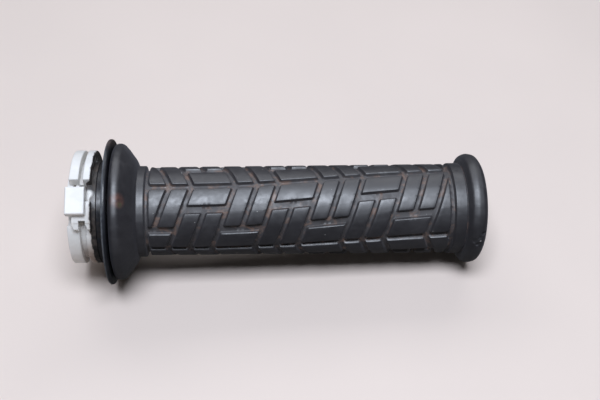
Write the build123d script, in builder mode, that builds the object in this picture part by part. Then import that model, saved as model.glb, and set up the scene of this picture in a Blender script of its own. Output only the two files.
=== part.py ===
"""Motorcycle throttle grip: a keyed throttle tube, the cable drum pressed on its inboard end, the flanged bush
that the tube turns in, and the rubber grip bonded over the tube.

Millimetres and degrees. The grip's axis is X. The origin is on the axis of the handlebar bore, at the inboard end
face of the tube and drum, and +X points outboard, towards the rider's end of the grip. Z is up. Directions round
the axis are angles in the YZ plane, measured from +Y towards +Z.
"""

import os
from math import ceil, cos, degrees, pi, radians, sin

from build123d import *

# Driving dimensions: the bore for a 22.2 mm handlebar, and the rubber's size
BORE_R = 11.3
SLEEVE_R = 12.7
TREAD_R = 16.0
TREAD_DEPTH = 1.3
TOTAL_LENGTH = 145.2

# Throttle tube
TUBE_END = 143.0
HUB_R = 15.0
HUB_START = 9.6
SHOULDER_START = 14.0
SHOULDER_END = 16.0
SHOULDER_R = 19.0
KEY_R = 14.0
KEY_WIDTH = 3.0
KEY_COUNT = 4
SPLINE_R = 13.5
SPLINE_WIDTH = 2.0
SPLINE_COUNT = 6
SPLINE_START = 24.0
SPLINE_END = 136.0
TUBE_CHAMFER = 0.4

# Cable drum
BLOCK_DIRECTION = 120.0
RIM_R = 18.2
FLOOR_R = 16.2
GROOVE_START = 4.0
GROOVE_END = 6.2
CAM_R = 22.0
CAM_FLOOR_R = 18.6
CAM_START = 0.9
CAM_END = 8.0
CAM_GROOVE_START = 4.1
CAM_GROOVE_END = 5.5
CAM_FROM = BLOCK_DIRECTION - 140.0
CAM_TO = BLOCK_DIRECTION - 20.0
BLOCK_R = 22.6
BLOCK_AXIAL = 6.5
BLOCK_HEIGHT = 9.4
FORK_R = 20.5
FORK_START = 1.8
FORK_END = 8.2
FORK_SLOT_START = 4.15
FORK_SLOT_END = 6.4
FORK_TO = BLOCK_DIRECTION + 21.0
PRONG_TO = BLOCK_DIRECTION + 31.0
PRONG_RAMP = 4.0
PULL_POCKET = (19.0, BLOCK_DIRECTION, 2.8)
RETURN_POCKET = (16.9, BLOCK_DIRECTION + 19.0, 2.3)
POCKET_DEPTH = 6.0
CABLE_SLOT = 1.7
CABLE_SLOT_LENGTH = 6.2
NOTCH_FLOOR_R = 17.0
NOTCH_START = 2.0
NOTCH_WIDTH = 0.9
PRONG_TAPER = 1.9
CORE_OUT_INNER_R = 14.7
CORE_OUT_OUTER_R = 17.0
CORE_OUT_DEPTH = 6.0
CORE_OUT_COUNT = 4
CORE_OUT_RIB = 3.0
DRUM_EDGE = 0.35
BLOCK_EDGE = 0.45

# Flanged bush
BUSH_START = 9.7
FLANGE_START = 12.3
FLANGE_THICKNESS = 1.5
BUSH_R = 18.0
FLANGE_R = 26.0
BUSH_CLEARANCE = 0.05
FLANGE_DISH = 0.35
KEYWAY_WIDTH = 3.2
KEYWAY_DEPTH = 1.6
KEYWAY_DIRECTION = BLOCK_DIRECTION + 180.0

# Rubber grip, from the bell at its inboard end to the bead at its outboard end
BELL_START = 14.3
BELL_R = 24.4
LIP_R = 2.5
BELL_CREST = BELL_START + LIP_R
NECK_START = 22.6
NECK_END = 25.2
NECK_R = 16.3
TREAD_START = 27.0
TREAD_END = 132.5
TREAD_START_R = 15.85
TREAD_END_R = 16.3
RING_START = 134.3
RING_END = 138.6
RING_R = 16.6
BEAD_START_R = 15.9
BEAD_CREST = 141.6
BEAD_R = 20.1
BEAD_FACE_R = 17.9
MOUTH_R = 11.7

# Tread: herringbone rows of paired long blocks and single short ones, turned about the axis along the grip
ROWS = 4
ROW_HEIGHT = 2 * pi * TREAD_R / ROWS
BLOCK_PITCH = 7.59
SLANT = 0.352
GROOVE = 2.22
ROW_GROOVE = 2.3
LONG_BLOCK = 13.7
SHORT_BLOCK = 6.05
PATTERN_START = TREAD_START + 0.8
LAST_SLOT = 14
ROW_DIRECTION = BLOCK_DIRECTION - 22.6
TWIST = -22.6
TWIST_BULGE = 4.7
TWIST_WAVE = 1.6


def polar(radius, angle):
    """The point at this radius and angle in the YZ plane."""
    return (radius * cos(radians(angle)), radius * sin(radians(angle)))


def wedge(start, end, reach=60.0):
    """Keeps only what lies between two directions in the sketch being made."""
    steps = ceil((end - start) / 60.0)
    rim = [polar(reach, start + (end - start) * i / steps) for i in range(steps + 1)]
    Polygon((0, 0), *rim, align=None, mode=Mode.INTERSECT)


def ring_sector(inner_r, outer_r, start, end):
    """A sector of a ring, in the sketch being made."""
    Circle(outer_r)
    Circle(inner_r, mode=Mode.SUBTRACT)
    wedge(start, end)


# Throttle tube: sleeve, hub, shoulder, drum keys and the splines that the rubber grips
with BuildPart() as throttle_tube:
    with BuildSketch(Plane.XZ):
        with BuildLine():
            Polyline(
                (0, BORE_R),
                (0, SLEEVE_R),
                (HUB_START, SLEEVE_R),
                (HUB_START, HUB_R),
                (SHOULDER_START, HUB_R),
                (SHOULDER_START, SHOULDER_R),
                (SHOULDER_END, SHOULDER_R),
                (SHOULDER_END + 2.0, SLEEVE_R),
                (TUBE_END, SLEEVE_R),
                (TUBE_END, BORE_R),
                close=True,
            )
        make_face()
    revolve(axis=Axis.X)
    tube_ends = throttle_tube.edges().filter_by(GeomType.CIRCLE).group_by(Axis.X)
    chamfer(tube_ends[-1], TUBE_CHAMFER)
    with BuildSketch(Plane.YZ):
        with PolarLocations((KEY_R + SLEEVE_R) / 2, KEY_COUNT, start_angle=BLOCK_DIRECTION + 45):
            Rectangle(KEY_R - SLEEVE_R + 0.4, KEY_WIDTH)
    extrude(amount=HUB_START)
    with BuildSketch(Plane.YZ.offset(SPLINE_START)):
        with PolarLocations((SPLINE_R + SLEEVE_R) / 2, SPLINE_COUNT):
            Rectangle(SPLINE_R - SLEEVE_R + 0.4, SPLINE_WIDTH)
    extrude(amount=SPLINE_END - SPLINE_START)
throttle_tube.part.label = "throttle_tube"


# Cable drum: a grooved rim, the raised cam for the pull cable, the cable block and the fork beside it
with BuildPart() as cable_drum:
    with BuildSketch(Plane.XZ):
        with BuildLine():
            Polyline(
                (0, SLEEVE_R),
                (0, RIM_R),
                (GROOVE_START, RIM_R),
                (GROOVE_START, FLOOR_R),
                (GROOVE_END, FLOOR_R),
                (GROOVE_END, RIM_R),
                (HUB_START - 0.05, RIM_R),
                (HUB_START - 0.05, SLEEVE_R),
                close=True,
            )
        make_face()
    revolve(axis=Axis.X)
    with BuildSketch(Plane.YZ.offset(CAM_START)):
        ring_sector(HUB_R, CAM_R, CAM_FROM, CAM_TO)
    extrude(amount=CAM_END - CAM_START)
    with BuildSketch(Plane.YZ.offset(CAM_GROOVE_START)):
        ring_sector(CAM_FLOOR_R, CAM_R + 1, CAM_FROM - 5, BLOCK_DIRECTION - 5)
    extrude(amount=CAM_GROOVE_END - CAM_GROOVE_START, mode=Mode.SUBTRACT)
    cam_rims = cable_drum.edges().filter_by(GeomType.CIRCLE).filter_by(lambda e: abs(e.radius - CAM_R) < 0.01)
    fillet(cam_rims, DRUM_EDGE)
    # Notches in the rim between the cam and the block
    for notch_start, notch_end in (
        (NOTCH_START, NOTCH_START + NOTCH_WIDTH),
        (CAM_GROOVE_START, CAM_GROOVE_END),
    ):
        with BuildSketch(Plane.YZ.offset(notch_start)):
            ring_sector(NOTCH_FLOOR_R, RIM_R + 1, CAM_TO, BLOCK_DIRECTION - 5)
        extrude(amount=notch_end - notch_start, mode=Mode.SUBTRACT)
    # The fork: two prongs beside the block, ramped down to the rim and tapered towards their tips
    with BuildSketch(Plane.YZ.offset(FORK_START)):
        ring_sector(HUB_R, FORK_R, BLOCK_DIRECTION, FORK_TO)
    extrude(amount=FORK_END - FORK_START)
    fork_rims = cable_drum.edges().filter_by(GeomType.CIRCLE).filter_by(lambda e: abs(e.radius - FORK_R) < 0.01)
    fillet(fork_rims, DRUM_EDGE)
    for prong_start, prong_end in ((FORK_START, FORK_SLOT_START), (FORK_SLOT_END, FORK_END)):
        with BuildSketch(Plane.YZ.offset(prong_start)) as prong:
            Polygon(
                polar(HUB_R, FORK_TO - 3),
                polar(FORK_R - 0.1, FORK_TO - 3),
                polar(FORK_R - 0.1, PRONG_TO - PRONG_RAMP),
                polar(RIM_R - 0.1, PRONG_TO),
                polar(HUB_R, PRONG_TO),
                align=None,
            )
        extrude(amount=prong_end - prong_start)
        trim_plane = Plane(origin=(prong_start, 0, 0), x_dir=(1, 0, 0), z_dir=(0, *polar(1, PRONG_TO)))
        prong_length = RIM_R * radians(PRONG_TO - FORK_TO)
        with BuildSketch(trim_plane.offset(RIM_R - 0.02)):
            Polygon((-1, -1), (PRONG_TAPER, -1), (0, prong_length), (-1, prong_length), align=None)
        extrude(amount=5, mode=Mode.SUBTRACT)
    with BuildSketch(Plane.YZ.offset(FORK_SLOT_START)):
        ring_sector(FLOOR_R, FORK_R + 1, FORK_TO - 2.5, PRONG_TO + 5)
    extrude(amount=FORK_SLOT_END - FORK_SLOT_START, mode=Mode.SUBTRACT)
    # The cable block
    with BuildSketch(Plane.YZ):
        with Locations(polar((BLOCK_R + HUB_R) / 2, BLOCK_DIRECTION)):
            Rectangle(BLOCK_R - HUB_R, BLOCK_HEIGHT, rotation=BLOCK_DIRECTION)
    extrude(amount=BLOCK_AXIAL)
    block_top = Axis((0, 0, 0), (0, *polar(1, BLOCK_DIRECTION)))
    fillet(cable_drum.faces().sort_by(block_top)[-1].edges(), BLOCK_EDGE)
    # Pockets for the barrels on the cable ends, each with the slot that its cable leaves by
    for pocket_r, pocket_direction, barrel_r in (PULL_POCKET, RETURN_POCKET):
        with BuildSketch(Plane.YZ):
            with Locations(polar(pocket_r, pocket_direction)):
                Circle(barrel_r)
        extrude(amount=POCKET_DEPTH, mode=Mode.SUBTRACT)
    with BuildSketch(Plane.YZ):
        with Locations(Location((*polar(PULL_POCKET[0], BLOCK_DIRECTION), 0), (0, 0, BLOCK_DIRECTION))):
            Rectangle(CABLE_SLOT, CABLE_SLOT_LENGTH, align=(Align.CENTER, Align.MAX))
    extrude(amount=CAM_GROOVE_END, mode=Mode.SUBTRACT)
    # Cored-out pockets in the thick sector under the cam
    core_step = (CAM_TO - CAM_FROM - 10) / CORE_OUT_COUNT
    for i in range(CORE_OUT_COUNT):
        core_from = CAM_FROM + 5 + i * core_step + CORE_OUT_RIB
        with BuildSketch(Plane.YZ):
            ring_sector(CORE_OUT_INNER_R, CORE_OUT_OUTER_R, core_from, core_from + core_step - 2 * CORE_OUT_RIB)
        extrude(amount=CORE_OUT_DEPTH, mode=Mode.SUBTRACT)
    add(throttle_tube.part, mode=Mode.SUBTRACT)
cable_drum.part.label = "cable_drum"


# Flanged bush: the collar sits in the throttle housing and the flange covers the housing's opening
with BuildPart() as flange_bush:
    with BuildSketch(Plane.XZ):
        with BuildLine():
            Polyline(
                (BUSH_START, HUB_R + BUSH_CLEARANCE),
                (BUSH_START, BUSH_R),
                (FLANGE_START + FLANGE_DISH, BUSH_R),
                (FLANGE_START, FLANGE_R - 1.2),
                (FLANGE_START, FLANGE_R),
                (FLANGE_START + FLANGE_THICKNESS, FLANGE_R),
                (FLANGE_START + FLANGE_THICKNESS, HUB_R + BUSH_CLEARANCE),
                close=True,
            )
        make_face()
    revolve(axis=Axis.X)
    flange_rim = flange_bush.edges().filter_by(GeomType.CIRCLE).filter_by(lambda e: abs(e.radius - FLANGE_R) < 0.01)
    fillet(flange_rim, FLANGE_THICKNESS * 0.4)
    with BuildSketch(Plane.YZ.offset(BUSH_START)):
        with Locations(polar(BUSH_R, KEYWAY_DIRECTION)):
            Rectangle(2 * KEYWAY_DEPTH, KEYWAY_WIDTH, rotation=KEYWAY_DIRECTION)
    extrude(amount=(FLANGE_START - BUSH_START) * 0.8, mode=Mode.SUBTRACT)
flange_bush.part.label = "flange_bush"


def twist(x):
    """How far the pattern has turned about the axis at this distance along the grip, in degrees."""
    t = (x - TREAD_START) / (TREAD_END - TREAD_START)
    return TWIST * t + TWIST_BULGE * sin(pi * t) + TWIST_WAVE * sin(2 * pi * t)


def block_outlines():
    """The tread's blocks in one row, as (left, right, low, high): left and right run along the grip at the row's
    start, and low and high run across the row, from 0 to ROW_HEIGHT."""
    near = ROW_GROOVE / 2
    far = ROW_HEIGHT - near
    outlines = []
    for slot in range(LAST_SLOT):
        left = PATTERN_START + slot * BLOCK_PITCH
        right = left + BLOCK_PITCH - GROOVE
        long_is_first = slot % 4 < 2
        low, high = (near, near + LONG_BLOCK) if long_is_first else (far - LONG_BLOCK, far)
        outlines.append((left, right, low, high))
        if slot % 2 == 0:
            low, high = (far - SHORT_BLOCK, far) if long_is_first else (near, near + SHORT_BLOCK)
            outlines.append((left, right + BLOCK_PITCH, low, high))
    left = PATTERN_START + LAST_SLOT * BLOCK_PITCH
    outlines.append((left, left + BLOCK_PITCH, near, far))
    return outlines


def tread_prism(row, left, right, low, high):
    """One block as a plane square to its own middle and an outline on that plane."""
    mirrored = row % 2 == 1
    corners = []
    for along, across in ((left, low), (right, low), (right, high), (left, high)):
        x = along - SLANT * across
        down = ROW_HEIGHT - across if mirrored else across
        corners.append((x, ROW_DIRECTION + row * 360 / ROWS + degrees(down / TREAD_R) + twist(x)))
    middle = sum(angle for _, angle in corners) / 4
    face = Plane(origin=(0, 0, 0), x_dir=(1, 0, 0), z_dir=(0, *polar(1, middle)))
    outline = [(x, -TREAD_R * sin(radians(angle - middle))) for x, angle in corners]
    return face, outline


# Rubber grip
with BuildPart() as tread:
    for row in range(ROWS):
        for outline in block_outlines():
            face, corners = tread_prism(row, *outline)
            with BuildSketch(face.offset(TREAD_R - 3)):
                Polygon(*corners, align=None)
            extrude(amount=5)
    # The blocks stand on the groove floor, under a surface that widens slightly along the grip
    with BuildSketch(Plane.XZ):
        Polygon(
            (TREAD_START, TREAD_START_R - TREAD_DEPTH - 0.2),
            (TREAD_START, TREAD_START_R),
            (TREAD_END, TREAD_END_R),
            (TREAD_END, TREAD_END_R - TREAD_DEPTH - 0.2),
            align=None,
        )
    revolve(axis=Axis.X, mode=Mode.INTERSECT)

with BuildPart() as grip_rubber:
    with BuildSketch(Plane.XZ):
        with BuildLine():
            lip = CenterArc((BELL_CREST, BELL_R - LIP_R), LIP_R, 180, -90)
            cone = Spline(
                (BELL_CREST, BELL_R),
                (BELL_CREST + 2.6, BELL_R - 2.3),
                (NECK_START - 0.8, NECK_R + 2.3),
                (NECK_START, NECK_R),
                tangents=[(1, 0), (0.2, -1)],
            )
            front = Polyline(
                (NECK_START, NECK_R),
                (NECK_END, NECK_R),
                (NECK_END, TREAD_START_R - TREAD_DEPTH),
                (RING_START, TREAD_END_R - TREAD_DEPTH),
                (RING_START, RING_R),
                (RING_END, RING_R),
                (RING_END + 0.2, BEAD_START_R),
            )
            bead = ThreePointArc(
                (RING_END + 0.2, BEAD_START_R),
                (BEAD_CREST - 1.8, BEAD_R - 0.9),
                (BEAD_CREST, BEAD_R),
            )
            nose = ThreePointArc(
                (BEAD_CREST, BEAD_R),
                (BEAD_CREST + 2.6, BEAD_R - 0.75),
                (TOTAL_LENGTH, BEAD_FACE_R),
            )
            Polyline(
                (TOTAL_LENGTH, BEAD_FACE_R),
                (TOTAL_LENGTH, MOUTH_R),
                (TUBE_END, MOUTH_R),
                (TUBE_END, SLEEVE_R),
                (NECK_START - 2.2, SLEEVE_R),
                (NECK_START - 2.2, NECK_R - 1.8),
                (BELL_START, BELL_R - LIP_R),
            )
        make_face()
    revolve(axis=Axis.X)
    add(tread.part)
    add(throttle_tube.part, mode=Mode.SUBTRACT)
grip_rubber.part.label = "grip_rubber"


os.makedirs("parts", exist_ok=True)
for piece in (throttle_tube, cable_drum, flange_bush, grip_rubber):
    export_step(piece.part, f"parts/{piece.part.label}.step")
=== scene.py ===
"""Looks for the throttle grip: the rubber is rebuilt as a fine mesh with rounded tread blocks, the plastic
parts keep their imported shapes, and every surface gets a procedural material. Metres, in the part's own frame:
X runs along the grip from the drum to the outboard end, and Z is up."""

import math

import bmesh
import bpy
import numpy as np
from mathutils import Matrix, Vector


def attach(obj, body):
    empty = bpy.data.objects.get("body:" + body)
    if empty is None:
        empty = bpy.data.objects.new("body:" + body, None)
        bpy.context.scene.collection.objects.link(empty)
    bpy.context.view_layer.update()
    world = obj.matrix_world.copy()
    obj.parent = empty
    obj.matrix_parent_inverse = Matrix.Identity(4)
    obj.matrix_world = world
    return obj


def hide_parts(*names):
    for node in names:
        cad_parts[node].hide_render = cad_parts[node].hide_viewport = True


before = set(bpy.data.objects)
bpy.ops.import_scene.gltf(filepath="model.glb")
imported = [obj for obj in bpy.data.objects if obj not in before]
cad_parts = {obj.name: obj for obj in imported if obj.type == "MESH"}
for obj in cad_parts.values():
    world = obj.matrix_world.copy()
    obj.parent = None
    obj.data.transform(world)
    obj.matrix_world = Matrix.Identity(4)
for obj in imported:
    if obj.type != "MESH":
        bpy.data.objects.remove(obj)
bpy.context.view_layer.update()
MM = 0.001

# ---------------------------------------------------------------- sizes of the rubber, in mm, as in the part
TOTAL = 145.2
TREAD_R, TREAD_DEPTH = 16.0, 1.3
TREAD_START, TREAD_END = 27.0, 132.5
TREAD_START_R, TREAD_END_R = 15.85, 16.3
ROWS = 4
ROW_HEIGHT = 2 * math.pi * TREAD_R / ROWS
PITCH, GROOVE, ROW_GROOVE = 7.59, 2.22, 2.3
SLANT = 0.352
LONG, SHORT = 13.7, 6.05
PATTERN_START = TREAD_START + 0.8
LAST_SLOT = 14
BLOCK_DIRECTION = 120.0
ROW_DIRECTION = BLOCK_DIRECTION - 22.6
TWIST, TWIST_BULGE, TWIST_WAVE = -22.6, 4.7, 1.6
BORE_IN_RUBBER = 12.75

# How closely the rubber's mesh is spaced across a row, along the grip and along the turned profiles
STEP_ACROSS, STEP_ALONG, STEP_PROFILE = 1.05, 1.0, 1.3
ARC_STEP = 14.0
BLOCK_CORNER = 0.35
SHARP_ANGLE = 68.0

NEAR = ROW_GROOVE / 2
FAR = ROW_HEIGHT - NEAR
# The edge of a block in section: height, from 0 to 1, at each distance inside the edge of its top
EDGE_STEPS = (-0.5, -0.42, -0.17, 0.03, 0.27)
EDGE_HEIGHTS = (0.0, 0.1, 0.66, 0.92, 1.0)
SHEET_START = TREAD_START + EDGE_STEPS[0]
SHEET_END = TREAD_END - EDGE_STEPS[0]


def edge_rise(d):
    """Height, from 0 to 1, at a distance d inside a block's edge: a drafted wall with a rounded top."""
    return np.interp(d, EDGE_STEPS, EDGE_HEIGHTS)


def inside_box(w, s, left, right, low, high):
    """Distance inside a block's outline, with its corners rounded in plan. Negative outside."""
    radius = BLOCK_CORNER
    dw = np.minimum(w - left, right - w)
    ds = np.minimum(s - low, high - s)
    corner = radius - np.hypot(radius - np.minimum(dw, radius), radius - np.minimum(ds, radius))
    return np.where((dw < radius) & (ds < radius), corner, np.minimum(dw, ds))


def tread_height(w, s):
    """Height of the tread, from 0 at the groove floors to 1 on the blocks."""
    slot = np.floor((w - PATTERN_START + GROOVE / 2) / PITCH)
    left = PATTERN_START + slot * PITCH
    right = left + PITCH - GROOVE
    first = np.mod(slot, 4) < 2
    long_low = np.where(first, NEAR, FAR - LONG)
    d = inside_box(w, s, left, right, long_low, long_low + LONG)
    pair_left = left - np.mod(slot, 2) * PITCH
    short_low = np.where(first, FAR - SHORT, NEAR)
    d_short = inside_box(w, s, pair_left, pair_left + 2 * PITCH - GROOVE, short_low, short_low + SHORT)
    d_last = inside_box(w, s, left, right + PITCH, NEAR, FAR)
    return edge_rise(np.where(slot >= LAST_SLOT, d_last, np.maximum(d, d_short)))


def twist(x):
    """How far the pattern has turned about the axis at this distance along the grip, in degrees."""
    t = (x - TREAD_START) / (TREAD_END - TREAD_START)
    return TWIST * t + TWIST_BULGE * np.sin(math.pi * t) + TWIST_WAVE * np.sin(2 * math.pi * t)


def floor_radius(x):
    """Radius of the groove floors at this distance along the grip."""
    along = (x - TREAD_START) / (TREAD_END - TREAD_START)
    return TREAD_START_R - TREAD_DEPTH + (TREAD_END_R - TREAD_START_R) * along


def with_fill(lines, step):
    """Adds evenly spaced lines where two are further apart than step."""
    filled = [lines[0]]
    for a, b in zip(lines, lines[1:]):
        count = max(1, math.ceil((b - a) / step - 0.05))
        filled += [a + (b - a) * (i + 1) / count for i in range(count)]
    return filled


def edge_lines(edges):
    """Grid lines along rounded edges, for each (position, side), with side +1 where the block is above it."""
    lines = set()
    for position, side in edges:
        for step in EDGE_STEPS:
            lines.add(round(position + side * step, 4))
    return sorted(lines)


def tread_grid():
    """The tread unrolled: x along the grip, y round it, with grid lines along every block's edges."""
    starts = [(position, 1) for position in (NEAR, FAR - LONG, FAR - SHORT)]
    ends = [(position, -1) for position in (NEAR + SHORT, NEAR + LONG, FAR)]
    across = with_fill([0.0, *edge_lines(starts + ends), ROW_HEIGHT], STEP_ACROSS)
    columns = []
    for slot in range(-1, LAST_SLOT + 3):
        left = PATTERN_START + slot * PITCH
        columns += edge_lines([(left, 1), (left + PITCH - GROOVE, -1)])
    columns = np.array(with_fill(columns, STEP_ALONG))
    ys, acrosses = [], []
    for row in range(ROWS):
        order = across if row % 2 == 0 else across[::-1]
        for a in order[: None if row == ROWS - 1 else -1]:
            down = a if row % 2 == 0 else ROW_HEIGHT - a
            ys.append(row * ROW_HEIGHT + down)
            acrosses.append(a)
    ys, acrosses = np.array(ys), np.array(acrosses)
    x = columns[:, None] - SLANT * acrosses[None, :]
    y = np.repeat(ys[None, :], len(columns), axis=0)
    return x, y


def grid_faces(rows, cols):
    i, j = np.meshgrid(np.arange(rows - 1), np.arange(cols - 1), indexing="ij")
    k = j + 1
    return np.stack([i * cols + j, (i + 1) * cols + j, (i + 1) * cols + k, i * cols + k], -1).reshape(-1, 4)


def mesh_from(name, points, faces):
    mesh = bpy.data.meshes.new(name)
    mesh.from_pydata([tuple(p) for p in points], [], [tuple(int(k) for k in f) for f in faces])
    return mesh


def build_tread(bm):
    """Adds the tread sheet to bm, wrapped round the axis, its two end loops lying at the groove floor."""
    x, y = tread_grid()
    flat = np.stack([x, y, np.zeros_like(x)], -1).reshape(-1, 3)
    mesh = mesh_from("tread_flat", flat, grid_faces(*x.shape))
    bm.from_mesh(mesh)
    bpy.data.meshes.remove(mesh)
    for step in EDGE_STEPS:
        for plane, outward in ((TREAD_START + step, -1), (TREAD_END - step, 1)):
            bmesh.ops.bisect_plane(
                bm,
                geom=bm.verts[:] + bm.edges[:] + bm.faces[:],
                dist=1e-3,
                plane_co=(plane, 0, 0),
                plane_no=(outward, 0, 0),
                clear_outer=step == EDGE_STEPS[0],
            )
    co = np.array([v.co for v in bm.verts])
    row = np.clip(np.floor(co[:, 1] / ROW_HEIGHT), 0, ROWS - 1)
    down = co[:, 1] - row * ROW_HEIGHT
    across = np.where(row % 2 == 0, down, ROW_HEIGHT - down)
    height = tread_height(co[:, 0] + SLANT * across, across)
    height *= edge_rise(np.minimum(co[:, 0] - TREAD_START, TREAD_END - co[:, 0]))
    angle = np.radians(ROW_DIRECTION + np.degrees(co[:, 1] / TREAD_R) + twist(co[:, 0]))
    radius = floor_radius(co[:, 0]) + TREAD_DEPTH * height
    for v, a, r in zip(bm.verts, angle, radius):
        v.co = (v.co.x, r * math.cos(a), r * math.sin(a))
    bmesh.ops.remove_doubles(bm, verts=bm.verts[:], dist=0.002)


def rounded_profile(corners):
    """A chain of points through the given (x, radius, rounding) corners, with each corner made an arc."""
    points = []
    for k, (x, r, rounding) in enumerate(corners):
        here = Vector((x, r))
        if rounding == 0 or k in (0, len(corners) - 1):
            points.append(here)
            continue
        before = Vector(corners[k - 1][:2]) - here
        after = Vector(corners[k + 1][:2]) - here
        bend = before.angle(after)
        reach = min(rounding / math.tan(bend / 2), 0.49 * before.length, 0.49 * after.length)
        radius = reach * math.tan(bend / 2)
        inward = (before.normalized() + after.normalized()).normalized()
        centre = here + inward * (radius / math.sin(bend / 2))
        start, end = here + before.normalized() * reach, here + after.normalized() * reach
        sweep = (start - centre).angle_signed(end - centre)
        steps = max(2, math.ceil(abs(sweep) / math.radians(ARC_STEP)))
        arm = start - centre
        for i in range(steps + 1):
            t = -sweep * i / steps
            cos_t, sin_t = math.cos(t), math.sin(t)
            points.append(centre + Vector((arm.x * cos_t - arm.y * sin_t, arm.x * sin_t + arm.y * cos_t)))
    return points


def subdivide_chain(points, step):
    """Adds points so that no stretch of the chain is longer than step."""
    chain = [points[0]]
    for a, b in zip(points, points[1:]):
        count = max(1, math.ceil((b - a).length / step))
        chain += [a.lerp(b, (i + 1) / count) for i in range(count)]
    return chain


# The bell and the bead in section, from the tread outwards and back in to the middle of the bore
BELL_CORNERS = [
    (SHEET_START, floor_radius(SHEET_START), 0),
    (25.7, floor_radius(25.7), 0.2),
    (25.35, 16.3, 0.35),
    (22.7, 16.3, 0.6),
    (21.9, 18.5, 6.0),
    (19.2, 22.3, 5.0),
    (17.4, 24.4, 2.4),
    (15.2, 24.4, 2.0),
    (14.3, 23.2, 0.9),
    (14.35, 21.8, 0.35),
    (20.4, 14.6, 0.6),
    (20.4, BORE_IN_RUBBER, 0),
    (80.0, BORE_IN_RUBBER, 0),
]
BEAD_CORNERS = [
    (SHEET_END, floor_radius(SHEET_END), 0),
    (134.1, floor_radius(134.1), 0.2),
    (134.4, 16.6, 0.4),
    (138.35, 16.6, 0.35),
    (138.65, 16.0, 0.15),
    (138.85, 17.6, 0.8),
    (139.7, 19.4, 1.6),
    (141.6, 20.1, 2.6),
    (144.0, 19.6, 2.0),
    (TOTAL, 17.9, 0.8),
    (TOTAL, 11.75, 0.45),
    (143.1, 11.75, 0.1),
    (143.1, BORE_IN_RUBBER, 0),
    (80.0, BORE_IN_RUBBER, 0),
]
# Bites torn out of the bead: direction round the axis, place along it, size and depth
NICKS = (
    (158.0, 143.9, 0.9, 0.75),
    (162.5, 142.3, 1.0, 0.28),
    (166.5, 141.0, 1.2, 0.32),
    (170.5, 142.2, 1.1, 0.45),
)
# Where the bead's mesh is made finer for them, and where it may be moved
TORN_FROM, TORN_TO, TORN_START, TORN_INNER_R = 153, 177, 139.2, 17.0
MOVED_START, MOVED_INNER_R = 139.0, 15.0


def boundary_loop(bm, plane):
    found = [v for v in bm.verts if abs(v.co.x - plane) < 0.02 and v.is_boundary]
    return sorted(found, key=lambda v: math.atan2(v.co.z, v.co.y))


def revolve_from(bm, loop, corners):
    """Carries the loop on along the profile, round the axis, and returns the last ring's edges."""
    chain = subdivide_chain(rounded_profile(corners), STEP_PROFILE)
    angles = [math.atan2(v.co.z, v.co.y) for v in loop]
    count = len(loop)
    previous = loop
    for point in chain[1:]:
        ring = [bm.verts.new((point.x, point.y * math.cos(a), point.y * math.sin(a))) for a in angles]
        for i in range(count):
            k = (i + 1) % count
            bm.faces.new((previous[i], previous[k], ring[k], ring[i]))
        previous = ring
    return [bm.edges.get((previous[i], previous[(i + 1) % count])) for i in range(count)]


def tear_bead(bm):
    """Small bites torn out of the bead's outer edge."""
    near = []
    for f in bm.faces:
        c = f.calc_center_median()
        if c.x <= TORN_START or math.hypot(c.y, c.z) <= TORN_INNER_R:
            continue
        if TORN_FROM < math.degrees(math.atan2(c.z, c.y)) % 360 < TORN_TO:
            near.append(f)
    edges = {e for f in near for e in f.edges}
    bmesh.ops.subdivide_edges(bm, edges=list(edges), cuts=4, use_grid_fill=True)
    for v in bm.verts:
        radius = math.hypot(v.co.y, v.co.z)
        if v.co.x < MOVED_START or radius < MOVED_INNER_R:
            continue
        angle = math.degrees(math.atan2(v.co.z, v.co.y)) % 360
        for direction, x, size, depth in NICKS:
            round_it = math.radians(angle - direction) * radius
            d = math.hypot(round_it, (v.co.x - x) * 0.8) / size
            ragged = 1 + 0.22 * math.sin(3.6 * round_it + direction) * math.cos(2.9 * v.co.x)
            bite = depth * max(0.0, 1 - (d * ragged) ** 2) ** 1.5
            if bite > 0:
                scale = (radius - bite) / radius
                v.co.y *= scale
                v.co.z *= scale
                v.co.x -= bite * 0.5


def build_rubber():
    bm = bmesh.new()
    build_tread(bm)
    left = revolve_from(bm, boundary_loop(bm, SHEET_START), BELL_CORNERS)
    right = revolve_from(bm, boundary_loop(bm, SHEET_END), BEAD_CORNERS)
    bmesh.ops.bridge_loops(bm, edges=left + right)
    tear_bead(bm)
    bmesh.ops.remove_doubles(bm, verts=bm.verts[:], dist=0.001)
    bmesh.ops.recalc_face_normals(bm, faces=bm.faces[:])
    bmesh.ops.scale(bm, vec=(MM, MM, MM), verts=bm.verts[:])
    mesh = bpy.data.meshes.new("rubber")
    bm.to_mesh(mesh)
    bm.free()
    mark_surface(mesh)
    rubber = bpy.data.objects.new("rubber_grip", mesh)
    bpy.context.scene.collection.objects.link(rubber)
    mesh.shade_smooth()
    mesh.set_sharp_from_angle(angle=math.radians(SHARP_ANGLE))
    weighted = rubber.modifiers.new("normals", "WEIGHTED_NORMAL")
    weighted.keep_sharp = True
    return rubber


def mark_surface(mesh):
    """Stores how deep each vertex lies: 0 on a groove floor or in a fold, 1 on top."""
    co = np.empty(len(mesh.vertices) * 3)
    mesh.vertices.foreach_get("co", co)
    co = co.reshape(-1, 3) / MM
    radius = np.hypot(co[:, 1], co[:, 2])
    height = np.ones(len(co))
    tread = (co[:, 0] > 25.2) & (co[:, 0] < 134.5)
    height[tread] = np.clip((radius[tread] - floor_radius(co[tread, 0])) / TREAD_DEPTH, 0, 1)
    fold = (co[:, 0] > 138.3) & (co[:, 0] < 139.0)
    height[fold] = np.clip((radius[fold] - 16.0) / 0.9, 0, 1)
    attribute = mesh.attributes.new("height", "FLOAT", "POINT")
    attribute.data.foreach_set("value", height.astype(np.float32))


rubber = build_rubber()
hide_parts("grip_rubber")
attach(rubber, "grip")


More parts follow.
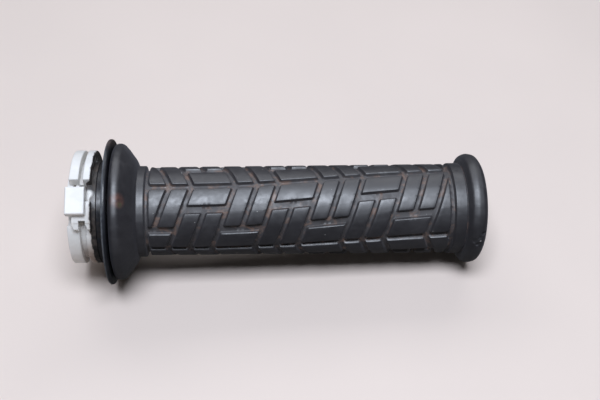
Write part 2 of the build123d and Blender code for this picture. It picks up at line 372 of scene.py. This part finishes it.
# ---------------------------------------------------------------- materials
class Look:
    """A procedural material, built from small steps. Every step returns a socket."""

    def __init__(self, name):
        self.material = bpy.data.materials.new(name)
        self.material.use_nodes = True
        self.tree = self.material.node_tree
        self.surface = self.tree.nodes["Principled BSDF"]
        self.place = self.node("ShaderNodeTexCoord").outputs["Object"]

    def node(self, kind, inputs=(), **settings):
        made = self.tree.nodes.new(kind)
        for key, value in settings.items():
            setattr(made, key, value)
        for key, value in dict(inputs).items():
            self.feed(made.inputs[key], value)
        return made

    def feed(self, socket, value):
        if isinstance(value, bpy.types.NodeSocket):
            self.tree.links.new(value, socket)
        else:
            socket.default_value = value

    def set(self, name, value):
        self.feed(self.surface.inputs[name], value)

    def math(self, operation, a, b=0.0):
        return self.node("ShaderNodeMath", {0: a, 1: b}, operation=operation).outputs[0]

    def ramp(self, value, low, high, to_low=0.0, to_high=1.0):
        """value carried smoothly from low..high onto to_low..to_high."""
        inputs = {"Value": value, "From Min": low, "From Max": high, "To Min": to_low, "To Max": to_high}
        return self.node("ShaderNodeMapRange", inputs, interpolation_type="SMOOTHSTEP").outputs["Result"]

    def mix(self, factor, a, b):
        """Colour a where factor is 0 and b where it is 1."""
        made = self.node("ShaderNodeMix", data_type="RGBA")
        self.feed(made.inputs[0], factor)
        self.feed(made.inputs[6], a if isinstance(a, bpy.types.NodeSocket) else (*a, 1.0))
        self.feed(made.inputs[7], b if isinstance(b, bpy.types.NodeSocket) else (*b, 1.0))
        return made.outputs[2]

    def noise(self, scale, detail=4.0, roughness=0.55, distortion=0.0, stretch=(1, 1, 1), shift=(0, 0, 0)):
        place = self.node("ShaderNodeMapping", {"Vector": self.place, "Scale": stretch, "Location": shift})
        inputs = {"Vector": place.outputs[0], "Scale": scale, "Detail": detail}
        inputs.update({"Roughness": roughness, "Distortion": distortion})
        return self.node("ShaderNodeTexNoise", inputs).outputs["Fac"]

    def specks(self, scale, size, share):
        """Tiny round spots: size is their largest radius, and share says how many cells have one."""
        cells = self.node("ShaderNodeTexVoronoi", {"Vector": self.place, "Scale": scale})
        split = self.node("ShaderNodeSeparateColor", {"Color": cells.outputs["Color"]})
        kept = self.math("LESS_THAN", split.outputs[0], share)
        radius = self.math("MULTIPLY", split.outputs[1], size)
        inside = self.math("LESS_THAN", cells.outputs["Distance"], radius)
        return self.math("MULTIPLY", kept, inside)

    def axes(self):
        split = self.node("ShaderNodeSeparateXYZ", {"Vector": self.place})
        return split.outputs[0], split.outputs[1], split.outputs[2]

    def towards(self, direction):
        """How far a point lies from the axis in this direction round it, in metres."""
        _, y, z = self.axes()
        a = math.radians(direction)
        return self.math("ADD", self.math("MULTIPLY", y, math.cos(a)), self.math("MULTIPLY", z, math.sin(a)))

    def radius(self):
        _, y, z = self.axes()
        squares = self.math("ADD", self.math("MULTIPLY", y, y), self.math("MULTIPLY", z, z))
        return self.math("SQRT", squares)

    def spot(self, x, radius, direction, size):
        """1 at a point on the surface, falling to 0 at this distance from it."""
        a = math.radians(direction)
        centre = (x * MM, radius * MM * math.cos(a), radius * MM * math.sin(a))
        away = self.node("ShaderNodeVectorMath", {0: self.place, 1: centre}, operation="DISTANCE")
        return self.ramp(away.outputs["Value"], 0.3 * size * MM, size * MM, 1.0, 0.0)

    def crevice(self, distance):
        inputs = {"Distance": distance}
        return self.node("ShaderNodeAmbientOcclusion", inputs, samples=6, only_local=True).outputs["AO"]

    def bump(self, height, distance, strength=1.0, under=None, soft_edge=None):
        inputs = {"Height": height, "Distance": distance, "Strength": strength}
        if under is not None:
            inputs["Normal"] = under
        elif soft_edge is not None:
            inputs["Normal"] = self.node("ShaderNodeBevel", {"Radius": soft_edge}, samples=6).outputs[0]
        return self.node("ShaderNodeBump", inputs).outputs[0]


def rubber_look():
    look = Look("rubber")
    height = look.node("ShaderNodeAttribute", attribute_name="height").outputs["Fac"]
    clouds = look.noise(55, 5, 0.6)
    patches = look.noise(320, 6, 0.6, 0.4)
    grain = look.noise(2600, 3, 0.6)
    smears = look.noise(140, 4, 0.55, 0.6, stretch=(0.35, 1, 1), shift=(0.3, 0.1, 0.2))
    colour = look.mix(look.ramp(clouds, 0.35, 0.7), (0.0122, 0.0112, 0.0140), (0.0190, 0.0174, 0.0208))
    colour = look.mix(look.ramp(smears, 0.5, 0.75, 0.0, 0.5), colour, (0.028, 0.0260, 0.0285))
    depth = look.ramp(height, 0.85, 0.1)
    dust = look.math("MULTIPLY", depth, look.ramp(patches, 0.28, 0.66, 0.45, 1.0))
    dust = look.math("MULTIPLY", dust, look.ramp(clouds, 0.3, 0.7, 0.6, 1.0))
    film = look.math("MULTIPLY", look.ramp(patches, 0.52, 0.8), look.ramp(clouds, 0.45, 0.7, 0.0, 0.2))
    colour = look.mix(film, colour, (0.05, 0.045, 0.045))
    colour = look.mix(look.math("MULTIPLY", dust, 0.85), colour, (0.044, 0.038, 0.039))
    rusty = look.noise(210, 5, 0.65, 0.8, shift=(0.7, 0.2, 0.4))
    rusty = look.math("MULTIPLY", look.ramp(rusty, 0.48, 0.64), look.ramp(height, 0.75, 0.2, 0.0, 0.8))
    colour = look.mix(rusty, colour, (0.135, 0.076, 0.052))
    stain = look.math("MULTIPLY", look.spot(17.6, 23.4, 121, 3.4), look.ramp(patches, 0.35, 0.55, 0.2, 0.9))
    colour = look.mix(stain, colour, (0.115, 0.042, 0.028))
    stain = look.math("MULTIPLY", look.spot(18.0, 23.0, 124, 1.6), look.ramp(patches, 0.4, 0.6, 0.3, 0.8))
    colour = look.mix(stain, colour, (0.045, 0.052, 0.022))
    colour = look.mix(look.specks(420, 0.12, 0.10), colour, (0.42, 0.41, 0.4))
    look.set("Base Color", colour)
    rough = look.ramp(patches, 0.3, 0.7, 0.43, 0.55)
    rough = look.math("ADD", rough, look.math("MULTIPLY", dust, 0.22))
    rough = look.math("ADD", rough, look.ramp(smears, 0.5, 0.75, 0.0, 0.08))
    look.set("Roughness", rough)
    look.set("IOR", 1.92)
    look.set("Sheen Weight", 0.06)
    look.set("Sheen Roughness", 0.45)
    look.set("Sheen Tint", (0.85, 0.86, 1.0, 1.0))
    normal = look.bump(grain, 0.00002, 0.6)
    normal = look.bump(patches, 0.00006, 0.5, under=normal)
    normal = look.bump(look.noise(90, 2), 0.0003, 0.4, under=normal)
    look.set("Normal", normal)
    return look.material


def drum_look():
    look = Look("drum_plastic")
    x, _, _ = look.axes()
    clouds = look.noise(140, 5, 0.6)
    patches = look.noise(420, 5, 0.6, 0.3)
    crevice = look.crevice(0.0014)
    colour = look.mix(look.ramp(clouds, 0.35, 0.7), (0.765, 0.755, 0.735), (0.69, 0.68, 0.655))
    # Darker brown in crevices found by ambient occlusion: partly dirt, partly painted shade.
    crevice_dirt_and_shade = look.math("MULTIPLY", look.ramp(crevice, 0.72, 0.3), look.ramp(patches, 0.3, 0.6, 0.35, 0.95))
    colour = look.mix(crevice_dirt_and_shade, colour, (0.24, 0.20, 0.17))
    # Darker brown on the drum's lower front side: partly dirt, partly painted shade.
    low = look.math("MULTIPLY", look.ramp(look.towards(208), 0.0115, 0.0175), look.ramp(x, 0.0030, 0.0052))
    low = look.math("MULTIPLY", low, look.ramp(clouds, 0.3, 0.6, 0.45, 0.9))
    colour = look.mix(low, colour, (0.24, 0.17, 0.13))
    beige = look.math("MULTIPLY", look.ramp(x, 0.0066, 0.0084), look.ramp(look.towards(185), 0.004, 0.012))
    colour = look.mix(look.math("MULTIPLY", beige, 0.6), colour, (0.36, 0.30, 0.26))
    edge = look.math("ADD", x, look.math("MULTIPLY", look.math("SUBTRACT", patches, 0.5), 0.0018))
    edge = look.math("ADD", edge, look.math("MULTIPLY", look.spot(7.4, 18.5, 103.5, 3.4), 0.0016))
    greasy = look.ramp(edge, 0.0076, 0.0080)
    clean = look.math("MULTIPLY", look.spot(7.3, 18.4, 110.5, 1.9), look.ramp(patches, 0.3, 0.45))
    greasy = look.math("MULTIPLY", greasy, look.math("SUBTRACT", 1.0, clean))
    tar = look.mix(look.ramp(patches, 0.42, 0.7), (0.010, 0.009, 0.009), (0.06, 0.047, 0.040))
    colour = look.mix(look.math("MULTIPLY", greasy, 0.98), colour, tar)
    look.set("Base Color", colour)
    rough = look.ramp(clouds, 0.3, 0.7, 0.34, 0.48)
    look.set("Roughness", look.math("SUBTRACT", rough, look.math("MULTIPLY", greasy, 0.06)))
    look.set("Subsurface Weight", look.math("SUBTRACT", 0.45, look.math("MULTIPLY", greasy, 0.45)))
    look.set("Subsurface Radius", (1.0, 0.95, 0.9))
    look.set("Subsurface Scale", 0.003)
    normal = look.bump(look.noise(2200, 3), 0.00002, 0.35, soft_edge=0.00028)
    lumps = look.math("MULTIPLY", greasy, look.noise(260, 3, 0.5))
    look.set("Normal", look.bump(lumps, 0.0004, 0.6, under=normal))
    return look.material


def bush_look():
    look = Look("bush_plastic")
    x, _, _ = look.axes()
    clouds = look.noise(120, 5, 0.6)
    patches = look.noise(700, 5, 0.6, 0.4)
    turned = look.noise(900, 3, 0.5, stretch=(1, 0.04, 0.04))
    radius = look.radius()
    colour = look.mix(look.ramp(clouds, 0.3, 0.7), (0.010, 0.011, 0.014), (0.019, 0.021, 0.026))
    # A light grey line along the disc rim's inboard edge: a painted highlight, partly edge wear.
    rim_highlight_and_wear = look.math("MULTIPLY", look.ramp(radius, 0.0250, 0.0256), look.ramp(x, 0.01310, 0.01265))
    rim_highlight_and_wear = look.math("MULTIPLY", rim_highlight_and_wear, look.ramp(patches, 0.3, 0.6, 0.3, 0.75))
    colour = look.mix(rim_highlight_and_wear, colour, (0.13, 0.14, 0.155))
    dirt = look.ramp(look.towards(48), 0.0225, 0.0255)
    dirt = look.math("MULTIPLY", dirt, look.ramp(patches, 0.35, 0.6, 0.3, 0.9))
    colour = look.mix(dirt, colour, (0.10, 0.075, 0.068))
    grime = look.math("MULTIPLY", look.ramp(radius, 0.0215, 0.018), look.ramp(patches, 0.4, 0.7, 0.0, 0.8))
    colour = look.mix(grime, colour, (0.03, 0.024, 0.021))
    look.set("Base Color", colour)
    look.set("Roughness", look.ramp(patches, 0.3, 0.7, 0.28, 0.46))
    normal = look.bump(look.noise(2400, 3), 0.00002, 0.3, soft_edge=0.0002)
    look.set("Normal", look.bump(turned, 0.00004, 0.3, under=normal))
    return look.material


def tube_look():
    look = Look("tube_plastic")
    clouds = look.noise(110, 5, 0.6)
    drawn = look.noise(1500, 3, 0.5, stretch=(0.05, 1, 1))
    colour = look.mix(look.ramp(clouds, 0.35, 0.7), (0.012, 0.012, 0.013), (0.024, 0.023, 0.023))
    colour = look.mix(look.ramp(drawn, 0.6, 0.75, 0.0, 0.5), colour, (0.08, 0.075, 0.07))
    look.set("Base Color", colour)
    look.set("Roughness", look.ramp(drawn, 0.3, 0.7, 0.36, 0.55))
    look.set("Normal", look.bump(drawn, 0.00003, 0.5, soft_edge=0.00015))
    return look.material


def dress(obj, material):
    obj.data.materials.clear()
    obj.data.materials.append(material)


dress(rubber, rubber_look())
for node, make in (("cable_drum", drum_look), ("flange_bush", bush_look), ("throttle_tube", tube_look)):
    dress(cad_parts[node], make())


# ---------------------------------------------------------------- floor, light and camera
def floor_look():
    look = Look("floor")
    colour = look.mix(look.ramp(look.noise(6, 3), 0.3, 0.7), (0.675, 0.585, 0.53), (0.705, 0.61, 0.552))
    look.set("Base Color", colour)
    look.set("Roughness", 0.75)
    look.set("Normal", look.bump(look.noise(500, 4), 0.0001, 0.25))
    return look.material


# The grip lies on its flange and its bead, so the floor is tilted to touch both
FLANGE_X, FLANGE_R, BEAD_X, BEAD_R = 13.05, 26.0, 141.6, 20.05
tilt = math.atan2(FLANGE_R - BEAD_R, BEAD_X - FLANGE_X)
rest_drop = FLANGE_R / math.cos(tilt) + FLANGE_X * math.tan(tilt)
bpy.ops.mesh.primitive_plane_add(size=4.0, location=(0.0, 0.0, -rest_drop * MM), rotation=(0.0, -tilt, 0.0))
floor = bpy.context.object
floor.name = "floor"
dress(floor, floor_look())
floor.visible_glossy = False


def area_light(name, place, aim, size, energy, colour):
    data = bpy.data.lights.new(name, "AREA")
    data.shape = "RECTANGLE"
    data.size, data.size_y = size
    data.energy = energy
    data.color = colour
    light = bpy.data.objects.new(name, data)
    light.location = place
    light.rotation_euler = (Vector(aim) - Vector(place)).to_track_quat("-Z", "Y").to_euler()
    bpy.context.scene.collection.objects.link(light)


area_light("key", (0.05, -0.21, 0.87), (0.07, 0.0, 0.0), (0.55, 0.30), 10.2, (0.82, 0.885, 1.0))
area_light("back", (0.05, 0.62, 0.66), (0.07, 0.0, 0.0), (1.3, 0.35), 3.2, (0.93, 0.95, 1.0))
world = bpy.data.worlds.new("studio")
world.use_nodes = True
world.node_tree.nodes["Background"].inputs["Color"].default_value = (0.95, 0.97, 1.0, 1.0)
world.node_tree.nodes["Background"].inputs["Strength"].default_value = 0.05
bpy.context.scene.world = world
bpy.context.scene.view_settings.view_transform = "Standard"

CAMERA_UP_ANGLE = 50.0
CAMERA_DISTANCE = 318.6
CAMERA_X = 56.35
YAW, PITCH_ANGLE, ROLL = -4.33, 0.63, -0.62
LENS, SENSOR = 52.5, 36.0
camera_data = bpy.data.cameras.new("camera")
camera_data.lens = LENS
camera_data.sensor_width = SENSOR
camera_data.clip_start = 0.01
camera = bpy.data.objects.new("camera", camera_data)
bpy.context.scene.collection.objects.link(camera)
bpy.context.scene.camera = camera
up_angle = math.radians(CAMERA_UP_ANGLE)
facing = Matrix.Rotation(math.pi / 2 - up_angle, 4, "X")
turn = (
    Matrix.Rotation(math.radians(YAW), 4, "Y")
    @ Matrix.Rotation(math.radians(PITCH_ANGLE), 4, "X")
    @ Matrix.Rotation(math.radians(ROLL), 4, "Z")
)
place = Vector((CAMERA_X, -CAMERA_DISTANCE * math.cos(up_angle), CAMERA_DISTANCE * math.sin(up_angle))) * MM
camera.matrix_world = Matrix.Translation(place) @ facing @ turn
